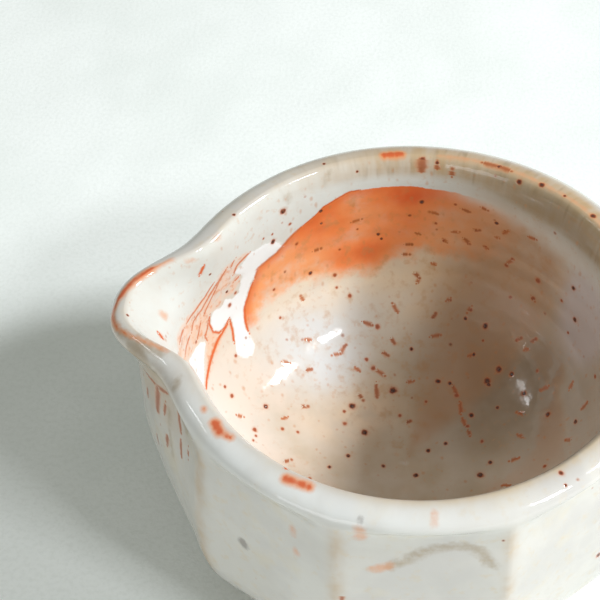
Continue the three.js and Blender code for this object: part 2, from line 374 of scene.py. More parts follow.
# %% Dashes
RUST_DASHES = [  # degrees and millimetres from the crest of one end, then of the other
    (86.5, 27, 89, 27), (101, 22, 103.5, 21.5), (107.5, 20, 109.5, 19.5), (117, 18, 119, 16),
    (125, 15.5, 128, 15), (98.5, 24.5, 100, 25.5), (104.5, 23, 107, 24.5), (111.5, 24, 113, 24.5),
    (86, 30, 88.5, 30), (95.5, 32, 97, 32.5), (90, 35, 92, 36.5), (92, 36.5, 91, 38),
    (82.5, 43, 84.5, 45.5), (70, 46.5, 74, 48), (98, 46.5, 99, 45), (110.5, 43, 111.5, 41),
    (81, 51.5, 82.5, 53), (59, 51.5, 61, 51), (46, 45.5, 48, 46.5), (119.5, 26.5, 121.5, 24.5),
    (130, 31.5, 132, 32.5), (131.5, 44, 133, 42.5), (98, 51, 102.5, 50), (50.5, 35, 51, 36.5),
    (114.5, 20, 116, 20), (90, 23.5, 91.5, 24), (102, 41.5, 103.5, 40.5), (76.5, 55, 79, 56),
    (53, 52, 57, 52.5), (57, 52.5, 60.5, 51), (61, 57, 62.5, 58.5), (71, 59, 75.5, 61),
    (56, 63.5, 56, 65.5), (88.5, 63, 93, 62.5), (136.5, 44.5, 137.5, 43.5), (137, 42, 138, 40.5),
    (117, 53, 119, 52), (116, 61, 122, 63), (126, 64, 133, 66.5), (136, 67, 144, 68),
    (147, 68, 153, 68.5), (69.5, 62, 66.5, 66), (154.5, 56, 158, 54.5), (181.5, 61, 180, 58.5),
    (-161.5, 61.5, -162.5, 59.5), (179, 46.5, 180, 45), (171, 40.5, 170.5, 38), (89, 74, 93.5, 73.5),
    (39, 52, 41.5, 52.5), (13, 56, 15.5, 57), (109, 12, 111.5, 12.5), (94, 16.5, 97, 17),
    (103, 14, 106, 14.5), (70, 18.5, 73.5, 18), (57, 24, 60, 24), (160, 40, 161.5, 42),
    (154, 46, 153, 48.5), (166, 58, 169, 57), (24, 58, 26.5, 59), (33, 47, 35.5, 48.5), (4, 46, 5, 48),
    (-10, 58, -8, 60), (-35, 30, -36, 33), (-52, 44, -49, 45), (-66, 52, -68, 54), (-84, 36, -84, 39),
    (-100, 34, -102, 36), (-112, 52, -109, 54), (-128, 40, -129, 43), (-145, 34, -142, 36),
    (-158, 45, -160, 47), (172, 31, 173, 33), (-176, 22, -174, 24), (-60, 26, -62, 28),
    (-92, 54, -90, 56), (-30, 50, -32, 52),
]
print("dashes", len(RUST_DASHES))

# %% Lines, some of them along the blush
BLUSH_EDGE = [  # the crisp upper border of the blush, from the spout's side round to the far side
    (28.5, 40), (29, 36.5), (29.5, 33), (31, 29), (33, 26.5), (35.5, 23), (37.5, 20), (41, 19.5),
    (44.5, 19), (47.5, 17.5), (50.5, 16), (54.5, 14.5), (58.5, 13), (61.5, 11), (65, 10), (69.5, 8.5),
    (77.5, 8.5), (88, 8.5), (93.5, 9), (106.5, 9.5), (113.5, 10), (119.5, 11), (125.5, 12), (132, 13),
    (139, 15),
]
RUST_LINES = [  # side, half width, then degrees and millimetres from the crest of each point
    ("in", 0.36, BLUSH_EDGE[1:6]), ("in", 0.24, BLUSH_EDGE[5:12]),
    ("in", 0.26, BLUSH_EDGE[11:16] + [(73, 8.5)]),
    ("in", 0.3, [(18.5, 23), (17.5, 25.5), (18, 28.5), (20, 30.5), (22.5, 30.5), (25, 29)]),
    ("in", 0.18, [(18.5, 23), (16.5, 26), (14.5, 27.5), (15, 29)]),
    ("in", 0.34, [(25, 29), (24.5, 32.5), (23, 36)]),
    ("in", 0.48, [(24.5, 30), (21.5, 31), (18, 32), (14, 33.5), (10, 35), (5, 36.5)]),
    ("in", 0.2, [(34.5, 12.5), (31.5, 13), (29, 13.5), (27.5, 16)]),
    ("in", 0.16, [(28.5, 10.5), (27, 11.5), (26.5, 13)]),
    ("in", 0.22, [(25, 11.5), (22, 14.5), (18.5, 17), (15.5, 19), (11.5, 19.5), (9.5, 21.5)]),
    ("in", 0.16, [(23.5, 13), (21, 16.5), (18.5, 19.5), (16, 21.5)]),
    ("in", 0.18, [(20.5, 13.5), (17, 16), (13, 17), (8, 17)]),
    ("in", 0.18, [(14.5, 22), (12.5, 24.5), (11, 25.5)]), ("in", 0.22, [(6.5, 17), (4, 17), (1.5, 17.5)]),
    ("in", 0.2, [(8.5, 21.5), (5, 22), (3, 23)]), ("in", 0.16, [(4, 18), (2.5, 19.5)]),
    ("in", 0.5, [(-2.5, 8.5), (-3.5, 10)]), ("in", 0.4, [(17.6, 5.2), (16.8, 6.6), (16, 8)]),
    ("in", 0.3, [(27.8, 18.9), (29.3, 18.4), (30.4, 17.9)]),
    ("out", 0.4, [(107.5, 0.4), (112, 0.5), (116, 0.4)]), ("in", 0.35, [(-61.5, 0.6), (-62, 0.2)]),
    ("out", 0.55, [(-16.5, 15), (-17, 18), (-17.5, 21.5)]), ("out", 0.3, [(-20, 16), (-20.5, 19.5)]),
    ("out", 0.3, [(-11.5, 14.5), (-16.5, 14.5), (-20.5, 13)]),
    ("out", 0.35, [(-25.5, 13), (-26.5, 15.5), (-28.5, 17.5)]), ("out", 0.45, [(-23, 24), (-23, 27)]),
    ("out", 0.3, [(-29, 19), (-30.5, 23)]), ("out", 0.25, [(-33, 17), (-34, 20)]),
    ("out", 0.3, [(-12, 20), (-12, 23)]), ("out", 0.25, [(-17, 30), (-17.5, 33)]),
    ("out", 0.3, [(-78, 30.5), (-78, 31.5)]),
]
RIM_RUNS = [  # half width of iron that ran down inside from a speck on the rim, then its points
    (0.95, [(91, 1.2), (90.9, 4.2)]), (0.6, [(95.3, 1.4), (95.4, 3.2)]),
    (0.6, [(99.7, 2.6), (99.8, 4.8)]),
]
print("lines", len(RUST_LINES), "runs", len(RIM_RUNS))


# %% [markdown]
# ## Washes, runs and the blush
# Where the glaze ran thick it is white, where it ran thin the clay's rust shows as a wash, and
# the flame left a blush with a crisp upper border and a faded lower one. These soft marks are
# broad beside a mesh cell, so a number on each vertex is enough for them: the distance from the
# edge of the mark, negative inside it. The material adds some noise to the distance before it
# turns it into an edge, as glaze never runs straight.

# %% White pools and the wash
WHITE_OUTLINES = [  # degrees and millimetres from the crest around a thick pool of white inside
    [(47.5, 18), (43, 19), (38.5, 19.5), (35.5, 22), (32.5, 26), (30.5, 29.5), (29.5, 32), (28.5, 35.5),
     (29, 37.5), (28.5, 40), (25.5, 41.5), (22.5, 40.5), (21.5, 38.5), (23.5, 36), (24.5, 33.5),
     (25.5, 30.5), (25, 29), (23, 29.5), (21.5, 30.5), (19, 29.5), (17.5, 27), (18.5, 24.5), (19.5, 23),
     (23, 24), (24.5, 22.5), (27, 24), (29.5, 23.5), (30.5, 21), (31.5, 19), (28, 15.5), (31, 14.5),
     (34, 13), (39, 13.5), (43.5, 14)],
    [(14.5, 28.5), (13, 30.5), (10, 33), (7, 35), (4.5, 35.5), (2, 32), (3, 28), (4.5, 26), (8.5, 26.5),
     (12, 27)],
]
WASH_OUTLINE = [  # around the thin orange glaze beside it
    (34, 12), (29.5, 11), (24.5, 10.5), (20.5, 13.5), (16.5, 16), (11.5, 16), (6.5, 15.5), (1.5, 15),
    (-1, 18), (0, 24), (5.5, 26), (8.5, 26.5), (12, 27), (14.5, 28.5), (13, 31), (8, 36), (12, 36),
    (18, 33.5), (24.5, 31), (25, 29), (22.5, 30.5), (20, 30.5), (18, 28.5), (17.5, 25.5), (18.5, 23),
    (23, 23.5), (24.5, 22), (28, 22.5), (31, 20), (31, 18), (28, 15), (32.5, 13.5),
]
print("white pools", len(WHITE_OUTLINES), "points around the wash", len(WASH_OUTLINE))

# %% Smudges, stains and trails
SMUDGES = [  # side, half width of a soft orange patch, then its points
    ("in", 0.7, [(3, 8.5), (3, 9.5)]), ("in", 0.6, [(23.5, 0.9), (24.5, 1)]),
    ("in", 0.4, [(14.5, 1.8), (15.5, 2.2)]), ("out", 0.7, [(-66.3, 15.8), (-66.3, 17)]),
    ("out", 0.6, [(-67.3, 21.5), (-67.3, 22.5)]), ("out", 1.1, [(-84.5, 20.8), (-87.5, 20)]),
    ("out", 1.1, [(-81.4, 7), (-81.5, 10.6)]), ("in", 0.5, [(-150, 3), (-146, 3)]),
    ("out", 0.5, [(-96.4, 2.5), (-96.4, 4.4)]),
    ("out", 0.5, [(96, 0.2), (104, 0.4), (119, 0.5), (128, 0.4)]),
    ("out", 0.4, [(128, 0.4), (136, 0.8), (146, 0.6), (156, 0.6)]),
    ("out", 0.9, [(-176, 0.8), (-171, 0.8)]),
]
LIP_STAINS = [  # side, half width of a stain where the rim is bare, then its points
    ("out", 0.15, [(13, 0.3), (9.5, 0.5)]), ("out", 0.75, [(9.5, 0.5), (7, 0.8), (4, 1.4), (1.5, 2.4)]),
    ("out", 0.5, [(1.5, 2.5), (-1, 3.8), (-3.5, 4.4), (-6.5, 4)]),
    ("out", 0.2, [(-6.5, 4), (-9, 3), (-12.5, 1.4), (-16, 0.6)]), ("out", 1.0, [(80.5, 0.2), (85, 0.3)]),
    ("out", 1.0, [(-41, 1.4), (-42.5, 1.7), (-43.5, 1.9)]), ("out", 0.6, [(-43.5, 2), (-46.5, 1.2)]),
    ("out", 0.3, [(-36, 1.4), (-36.5, 1.6)]), ("out", 0.85, [(-63.4, 1.7), (-66, 1.5), (-68.8, 1.3)]),
]
THIN_TRAILS = [  # thin brown glaze that ran from a spot or lies over a fold
    ("in", 0.35, [(49.5, 3.5), (51, 3), (50, 6), (48.5, 7)]), ("in", 0.45, [(64, 1.5), (63.5, 3)]),
    ("out", 1.0, [(-4, 4.6), (-7, 4.4), (-10, 3.4), (-13, 2.6), (-16, 2.2)]),
    ("out", 0.9, [(-25.5, 3.2), (-26.5, 4)]),
    ("out", 2.2, [(-12, 5), (-16, 8), (-21, 10), (-26, 11.5), (-30, 13)]),
    ("out", 0.5, [(-22, 17), (-24, 22), (-26, 27)]),
    ("out", 1.2, [(-88, 20), (-90, 19), (-93.5, 16.5), (-97, 15), (-103, 14), (-106.5, 16), (-109, 20)]),
]
GREY_SPOTS = [  # side, half width of a spot where the clay's ash shows grey, then its points
    ("out", 1.2, [(-52.7, 30), (-53, 31.2)]), ("out", 0.55, [(-81.3, 4.6), (-81.4, 5.1)]),
    ("out", 0.6, [(58, 24), (58, 25)]), ("out", 0.8, [(140, 33), (141, 34)]),
]
print("smudges", len(SMUDGES), "stains", len(LIP_STAINS), "trails", len(THIN_TRAILS))

# %% The blush, soft changes of tone, and painted shade, light and reflection
BLUSH_FOOT = [  # the faded lower border of the blush
    (25, 37), (29.5, 34.5), (34, 31.5), (40, 30), (50, 31), (62, 32), (72, 32.5), (80.5, 32), (88, 30.5),
    (95, 29.5), (103, 29), (109, 28), (114, 26), (119, 22), (122, 16), (124, 11),
]
BLUSH_CLOUDS = [  # strength, then the middle and the half widths in degrees and millimetres
    (0.6, 89, 10, 12, 4.5), (0.3, 84, 20, 10, 9), (0.5, 71, 28.5, 10, 4.2), (0.45, 60, 16, 12, 8),
    (0.15, 104, 15, 13, 9),
]
# The patches at 140 and 134 degrees inside and at -16 degrees outside are painted shade. The lilac one at
# 152 degrees inside is a painted reflection, and the band at -45 degrees outside is painted light.
GLAZE_PATCHES = {  # side, then the middle and the half widths in degrees and millimetres
    "tan": ("in", 124, 24, 24, 15), "painted_shade_right_wall": ("in", 140, 52, 38, 23),
    "honey": ("in", 98, 38, 18, 11), "cream": ("in", 63, 34, 34, 7.5),
    "peach": ("in", 3, 48, 42, 22), "pale": ("in", 45, 68, 38, 7),
    "clear": ("in", 50, 50, 20, 14), "bright": ("in", -20, 37, 22, 15),
    "painted_reflection_right_wall": ("in", 152, 25, 12, 12), "painted_shade_far_rim": ("in", 134, 5.5, 28, 4.5),
    "thick": ("out", -45, 3.5, 62, 3.2), "painted_shade_by_spout": ("out", -16, 12, 15, 11),
}
print("clouds in the blush", len(BLUSH_CLOUDS), "patches of tone", len(GLAZE_PATCHES))


# %% [markdown]
# ## Finding the nearest mark
# A stroke becomes a row of places under a millimetre apart, and each face looks for the one
# whose mark comes closest. A KD-tree would be quicker, but it knows no widths, and a broad mark
# must win over a fine one beside it.

# %% Strokes and their samples
STROKE_STEP = 0.8
STROKE_TAPER = 0.45
USUAL_HALF_WIDTH = 0.42
HAIR_LINE = 0.25
HAIR_SOFTNESS = 0.35
SOFT_SPREAD = 1.6


def drawn_path(side, points):
    """A drawn path as evenly spaced places on the wall."""
    points = np.array(points, float)
    dense = np.array([a + (b - a) * t for a, b in zip(points, points[1:]) for t in np.linspace(0, 1, 12)])
    places = spots(side, dense)
    walked = np.concatenate([[0], np.cumsum(np.linalg.norm(np.diff(places, axis=0), axis=1))])
    wanted = np.linspace(0, walked[-1], max(3, int(walked[-1] / STROKE_STEP) + 1))
    return np.stack([np.interp(wanted, walked, places[:, k]) for k in range(3)], axis=1)


def stroke_samples(side, points, half_width, iron, softness, fuller=0.0):
    """Places along a stroke, with its way; it narrows at the ends and may be fuller at one."""
    path = drawn_path(side, points)
    ways = np.gradient(path, axis=0)
    ways /= np.linalg.norm(ways, axis=1)[:, None]
    ways[[0, -1]] = 0
    share = np.linspace(-1, 1, len(path))
    widths = half_width * (1 - STROKE_TAPER * share ** 4) * (1 + fuller * share)
    return [(place, way, (width, iron, softness)) for place, way, width in zip(path, ways, widths)]


def mark_samples():
    """Every mark as samples: place, way (none at an end), and half width, iron and softness."""
    dark = [("in", *speck) for speck in IRON_SPECKS] + RIM_SPECKS
    samples = [(spots(side, [(d, s)])[0], np.zeros(3), (radius, 1.0, 0.0)) for side, d, s, radius in dark]
    samples += [(spots("in", [(d, s)])[0], np.zeros(3), (radius, 0.6, 0.2)) for d, s, radius in RUST_SPECKS]
    uneven = np.random.default_rng(4).uniform(-0.7, 0.7, len(RUST_DASHES))
    for (d1, s1, d2, s2), fuller in zip(RUST_DASHES, uneven):
        ends, iron = [(d1, s1), (d2, s2)], max(0, fuller) * 0.6
        samples += stroke_samples("in", ends, USUAL_HALF_WIDTH, iron, 1.0, fuller)
    for half_width, points in RIM_RUNS:
        samples += stroke_samples("in", points, half_width, 0.3, 1.0, -0.3)
    for side, half_width, points in RUST_LINES:
        inner = (0.0, HAIR_SOFTNESS * (half_width < HAIR_LINE))
        iron, softness = (0.3, 1.0) if side == "out" else inner
        spread = SOFT_SPREAD if softness else 1
        samples += stroke_samples(side, points, half_width * spread, iron, softness)
    return samples


def nearest_samples(points):
    """For each point the sample whose mark comes closest to it."""
    samples = mark_samples()
    best = np.full(len(points), np.inf)
    chosen = np.zeros(len(points), int)
    for number, (place, _, kind) in enumerate(samples):
        away = np.linalg.norm(points - place, axis=1) - kind[0]
        closer = away < best
        best[closer] = away[closer]
        chosen[closer] = number
    return [np.array(column, float)[chosen] for column in zip(*samples)]


print("samples of marks", len(mark_samples()))


# %% Distances to strokes and outlines
FARTHEST = 6.0
DEEPEST = -3


def stroke_distance(marks, points):
    """Distance from each point to the edge of the nearest mark, negative inside it."""
    nearest = np.full(len(points), FARTHEST)
    for side, half_width, path in marks:
        for place in drawn_path(side, path):
            nearest = np.minimum(nearest, np.linalg.norm(points - place, axis=1) - half_width)
    return np.maximum(nearest, DEEPEST)


def outline_distance(outline, points, from_spout, walked):
    """Distance to a closed outline on the inner skin, negative within it (crossings are counted)."""
    closed = list(outline) + [outline[0]]
    within = np.zeros(len(points), bool)
    for (d1, s1), (d2, s2) in zip(closed, closed[1:]):
        if s1 != s2:
            passes = (s1 > walked) != (s2 > walked)
            within ^= passes & (from_spout < (d2 - d1) * (walked - s1) / (s2 - s1) + d1)
    away = stroke_distance([("in", 0, closed)], points)
    return np.where(within, -away, away)


print("distances are kept from", DEEPEST, "to", FARTHEST, "mm")


# %% Fields of the wall
OFF_THIS_SIDE = -9


def turned_from(from_spout, degrees):
    """The turn from an angle, the short way round."""
    return (from_spout - degrees + 180) % 360 - 180


def patch(from_spout, walked, degrees, far, wide, tall):
    """A soft oval patch: one in its middle, about a third at its half widths."""
    return bell(turned_from(from_spout, degrees), wide, 2.5) * bell(walked - far, tall, 2.5)


def wall_fields():
    """One number per vertex of the wall for each sort of broad mark or thin place."""
    points = wall_grid.reshape(-1, 3)
    from_spout = np.where(degrees_of > 180, degrees_of - 360, degrees_of).ravel()
    walked = skin_distance[ring_of].ravel()
    within = is_inside[ring_of].ravel()
    drawn_in = (points, from_spout, np.where(within, walked, OFF_THIS_SIDE))
    white = np.minimum.reduce([outline_distance(outline, *drawn_in) for outline in WHITE_OUTLINES])
    clouds = sum(strength * patch(from_spout, walked, *place) for strength, *place in BLUSH_CLOUDS)
    patches = {
        name: ((side == "in") == within) * patch(from_spout, walked, *place)
        for name, (side, *place) in GLAZE_PATCHES.items()
    }
    from_ridge = np.abs((degrees_of.ravel() - FACET_TURN + FACET_ANGLE / 2) % FACET_ANGLE - FACET_ANGLE / 2)
    rim_end = np.where(within, 5.6 + 3 * smooth(100, 130, from_spout), 4)
    far_part = 0.06 + 0.94 * bell(turned_from(from_spout, 120), 58, 4)
    z = points[:, 2]
    under_band = 1 - smooth(HEIGHT - RIM_BAND - 3, HEIGHT - RIM_BAND + 2, z)
    return {
        **patches,
        "white": white,
        "wash": outline_distance(WASH_OUTLINE, *drawn_in),
        "smudge": stroke_distance(SMUDGES, points),
        "lip": stroke_distance(LIP_STAINS, points),
        "brown": stroke_distance(THIN_TRAILS, points),
        "grey": stroke_distance(GREY_SPOTS, points),
        "blush": clouds * within,
        "blush_border": outline_distance(BLUSH_EDGE + [(139, 90), (28.5, 90)], *drawn_in),
        "blush_foot": outline_distance(BLUSH_FOOT + [(124, 0.5), (25, 0.5)], *drawn_in),
        "cool": within * (1 - smooth(12, 26, walked)),
        "lower_inside": within * smooth(40, 62, walked),
        "ridge": bell(from_ridge, 1.7, 2) * under_band * ~within,
        "blush_fade": 1 - smooth(104, 134, from_spout),
        "blush_line": 1 - smooth(85, 112, from_spout),
        "rim": (1 - smooth(rim_end - 2, rim_end + 1, walked)) * far_part,
        "crest": bell(walked, 1.2, 2) * (0.15 + 0.6 * smooth(60, 110, np.abs(from_spout))),
        "within": within * 1.0,
        "clay": (1 - smooth(FOOT_HEIGHT + 0.4, FOOT_HEIGHT + 2.6, z)) * ~within,
    }


fields = wall_fields()
print("fields", len(fields), "white part", round(float((fields["white"] < 0).mean()), 4), "of the wall")


# %% [markdown]
# ## Colours and nodes
# Colours are written as sRGB, as a colour picker shows them, and turned to linear here. One
# helper adds a node. A value may also be a node, whose first live output is then linked, so that
# a chain of nodes reads like a sum.

# %% Colour and node helpers
def linear(code):
    """An sRGB colour such as "E8E2D8" as the linear colour that the nodes want."""
    parts = [int(code[k:k + 2], 16) / 255 for k in (0, 2, 4)]
    return [c / 12.92 if c <= 0.04045 else ((c + 0.055) / 1.055) ** 2.4 for c in parts] + [1.0]


def live(node):
    """The first output of a node that its settings leave in use."""
    return next(socket for socket in node.outputs if socket.enabled)


def add(tree, kind, inputs=(), **settings):
    """Adds a node, sets its properties, and fills its inputs with values or links."""
    node = tree.nodes.new(kind)
    for name, value in settings.items():
        setattr(node, name, value)
    for key, value in dict(inputs).items():
        if isinstance(value, bpy.types.Node):
            value = live(value)
        if isinstance(value, bpy.types.NodeSocket):
            tree.links.new(value, node.inputs[key])
        else:
            node.inputs[key].default_value = value
    return node


def new_material(name):
    """A material with its shader and a coordinate that counts in millimetres on the object."""
    material = bpy.data.materials.new(name)
    material.use_nodes = True
    tree = material.node_tree
    place = add(tree, "ShaderNodeTexCoord").outputs["Object"]
    in_mm = add(tree, "ShaderNodeVectorMath", {0: place, "Scale": 1 / MM}, operation="SCALE")
    return material, tree, tree.nodes["Principled BSDF"], in_mm


print("middle grey as linear", [round(c, 3) for c in linear("808080")])


# %% [markdown]
# ## Patterns that the finishes share
# Mottling, flecks and edges come back in each finish, so each is one small pattern. Sizes are in
# millimetres, because the coordinate is. An image of a glaze would look richer close by, but it
# would stretch over the spout, and these patterns don't.

# %% Patterns that the finishes share
def mottle(tree, place, size, low, high, least=0.0, most=1.0, detail=3.0):
    """Cloudy patches about size millimetres wide; low and high say where they start and fill."""
    noise = {"Vector": place, "Scale": 1 / size, "Detail": detail, "Roughness": 0.55}
    cloud = add(tree, "ShaderNodeTexNoise", noise)
    wanted = {"Value": cloud, "From Min": low, "From Max": high, "To Min": least, "To Max": most}
    return add(tree, "ShaderNodeMapRange", wanted, interpolation_type="SMOOTHSTEP")


def edge(tree, distance, outer, inner, most=1.0):
    """A soft edge: nothing at the outer distance, all of it at the inner."""
    wanted = {"Value": distance, "From Min": inner, "From Max": outer, "To Min": most, "To Max": 0.0}
    return add(tree, "ShaderNodeMapRange", wanted, interpolation_type="SMOOTHSTEP")


def together(tree, operation, first, *others):
    """Adds, multiplies or otherwise joins several values in one chain."""
    for other in others:
        first = add(tree, "ShaderNodeMath", {0: first, 1: other}, operation=operation)
    return first


def shaken(tree, distance, ragged, amount):
    """A distance with some raggedness added, in millimetres."""
    return together(tree, "ADD", distance, together(tree, "MULTIPLY", ragged, amount))


def flecks(tree, place, spacing, share, radius):
    """Distance in millimetres from the edge of scattered flecks, which a share of the cells has."""
    cells = add(tree, "ShaderNodeTexVoronoi", {"Vector": place, "Scale": 1 / spacing, "Randomness": 1.0})
    draw = add(tree, "ShaderNodeSeparateColor", {0: cells.outputs["Color"]})
    own_radius = add(tree, "ShaderNodeMapRange", {0: draw.outputs[1], 3: -radius * 0.4, 4: -radius})
    left_out = add(tree, "ShaderNodeMath", {0: draw.outputs[0], 1: share}, operation="GREATER_THAN")
    hidden = together(tree, "MULTIPLY", left_out, 9.0)
    away = together(tree, "MULTIPLY", cells.outputs["Distance"], spacing)
    return together(tree, "ADD", away, own_radius, hidden)


def layered(tree, colour, layers):
    """Colours laid over each other; a layer is a colour and the masks that thin it."""
    for code, *masks in layers:
        amount = together(tree, "MULTIPLY", *masks)
        colour = add(tree, "ShaderNodeMix", {0: amount, 6: colour, 7: linear(code)}, data_type="RGBA")
    return colour


def dress(tree, shader, colour, relief=None):
    """Gives the shader its colour and, where there is one, a relief in millimetres."""
    tree.links.new(live(colour), shader.inputs["Base Color"])
    if relief is not None:
        height = together(tree, "MULTIPLY", relief, MM)
        bump = add(tree, "ShaderNodeBump", {"Height": height, "Strength": 1.0, "Distance": 1.0})
        tree.links.new(live(bump), shader.inputs["Normal"])


print("patterns", [pattern.__name__ for pattern in (mottle, edge, flecks, layered)])


# %% [markdown]
# ## The glaze
# Stoneware glaze is a thin glass over grey-brown clay: white where it lies thick, tan where it
# ran thin over a ridge or the rim, and blushed red-orange where the flame brought out the iron.
# The colour is built up in that order, from the clay to the last white run, and the specks go
# on top. It stays glossy all over, with a soft waviness from the dipping and the throwing. One
# noise with a colour ramp could give such a range too, but not each glaze in its own place.
# A few patches of the body are painted shade, painted light and a painted reflection, not glaze.

# %% What the glaze reads from the wall
def stored(tree, name, output="Fac"):
    """A number or a place that the wall's mesh carries."""
    return add(tree, "ShaderNodeAttribute", attribute_name=name).outputs[output]


def drawn_mark(tree, place):
    """Distance from the edge of the face's nearest mark, its iron and softness.

    The distance is in millimetres for a mark of the usual half width. It is stretched for a
    broader one and drawn together for a finer one, so that a fine line has a crisp edge.
    """
    nearest_place = stored(tree, "mark_place", "Vector")
    from_mark = add(tree, "ShaderNodeVectorMath", {0: place, 1: nearest_place}, operation="SUBTRACT")
    way = stored(tree, "mark_way", "Vector")
    along = add(tree, "ShaderNodeVectorMath", {0: from_mark, 1: way}, operation="DOT_PRODUCT")
    along = along.outputs["Value"]
    on_line = add(tree, "ShaderNodeVectorMath", {0: way, "Scale": along}, operation="SCALE")
    across = add(tree, "ShaderNodeVectorMath", {0: from_mark, 1: on_line}, operation="SUBTRACT")
    away = add(tree, "ShaderNodeVectorMath", {0: across}, operation="LENGTH")
    kind = add(tree, "ShaderNodeSeparateXYZ", {0: stored(tree, "mark_kind", "Vector")}).outputs
    from_edge = together(tree, "SUBTRACT", away.outputs["Value"], kind[0])
    stretch = together(tree, "DIVIDE", USUAL_HALF_WIDTH, kind[0])
    return together(tree, "MULTIPLY", from_edge, stretch), kind[1], kind[2]


print("a fine line's edge is drawn together by", round(USUAL_HALF_WIDTH / HAIR_LINE, 2))


# %% The body of the glaze
BODY_WHITE = "D1CEC7"


def glaze_body(tree, place, value):
    """White, cream and grey glaze before any colour: thick here, thin over edges there, with painted shade,
    light and a reflection in a few patches.
    """
    flow_place = stored(tree, "flow", "Vector")
    drips = add(tree, "ShaderNodeVectorMath", {0: flow_place, 1: (1, 1, 0.18)}, operation="MULTIPLY")
    outside = together(tree, "SUBTRACT", 1.0, value["within"])
    freckles = mottle(tree, place, 1.6, 0.56, 0.72, 0, 0.35)
    return layered(tree, linear(BODY_WHITE), [
        ("C2BFBB", mottle(tree, place, 16, 0.42, 0.66, 0, 0.6)),
        ("D3C8B0", mottle(tree, place, 9, 0.5, 0.72, 0, 0.5)),
        ("CFBD9F", outside, mottle(tree, place, 2.4, 0.54, 0.74, 0, 0.4)),
        ("D2CABE", value["within"]),
        # darker and tan towards the floor of the inside
        ("BEAD94", value["lower_inside"], mottle(tree, place, 12, 0.3, 0.7, 0.3, 0.95)),
        ("F2DABA", value["cream"], mottle(tree, place, 6, 0.3, 0.66, 0.5, 0.9)),
        ("DFCDBC", value["peach"], mottle(tree, place, 9, 0.34, 0.66, 0.2, 0.75)),
        ("D6D8D8", value["clear"], mottle(tree, place, 8, 0.3, 0.6, 0.5, 0.95)),
        ("EBCDA6", value["honey"], mottle(tree, place, 7, 0.3, 0.66, 0.3, 0.7)),
        ("EBD2B4", value["pale"], mottle(tree, place, 7, 0.3, 0.66, 0.3, 0.75)),
        # painted shade: the low right inner wall, darkened as if out of the light
        ("8F7A61", value["painted_shade_right_wall"], mottle(tree, place, 11, 0.25, 0.65, 0.7, 0.97)),
        ("DADCD7", value["cool"], mottle(tree, place, 7, 0.2, 0.55, 0.6, 0.9)),
        ("C7A381", value["tan"], mottle(tree, place, 6, 0.3, 0.66, 0.35, 0.85)),
        ("F4F3F0", value["bright"], mottle(tree, place, 8, 0.2, 0.6, 0.6, 0.95)),
        # painted reflection: a pale lilac patch on the right inner wall, as the room mirrored in the glaze
        ("D2CCD3", edge(tree, value["painted_reflection_right_wall"], 0.15, 0.75, 0.6)),
        # painted light: a pale bluish band on the outside of the near rim
        ("E6E9E8", value["thick"], mottle(tree, place, 10, 0.25, 0.6, 0.6, 0.95)),
        ("CC9F78", value["within"], mottle(tree, place, 14, 0.35, 0.6), freckles),
        ("B8986C", value["rim"], mottle(tree, drips, 2.6, 0.15, 0.8, 0.5, 0.95, 2.0)),
        ("86704F", value["rim"], mottle(tree, drips, 1.5, 0.52, 0.78, 0, 0.45, 1.0)),
        # painted shade: the inner face of the far right rim, darkened as in shadow
        ("84704F", value["painted_shade_far_rim"], 0.75),
        # painted shade: the outside below the lip, beside the spout
        ("BBA58C", value["painted_shade_by_spout"], mottle(tree, place, 5, 0.3, 0.66, 0.3, 0.75)),
        ("C4AE8C", value["crest"], mottle(tree, drips, 4.0, 0.2, 0.6, 0.4, 1.0, 2.0)),
        ("BFA788", value["ridge"], mottle(tree, place, 9, 0.3, 0.66, 0.15, 0.8)),
    ])


print("white of the body as linear", [round(c, 3) for c in linear(BODY_WHITE)])


# %% The coloured glazes
BLUSH_PALE, BLUSH_ORANGE, BLUSH_RED, BLUSH_DEEP = "F29E64", "EE8448", "E05E2E", "C44E20"


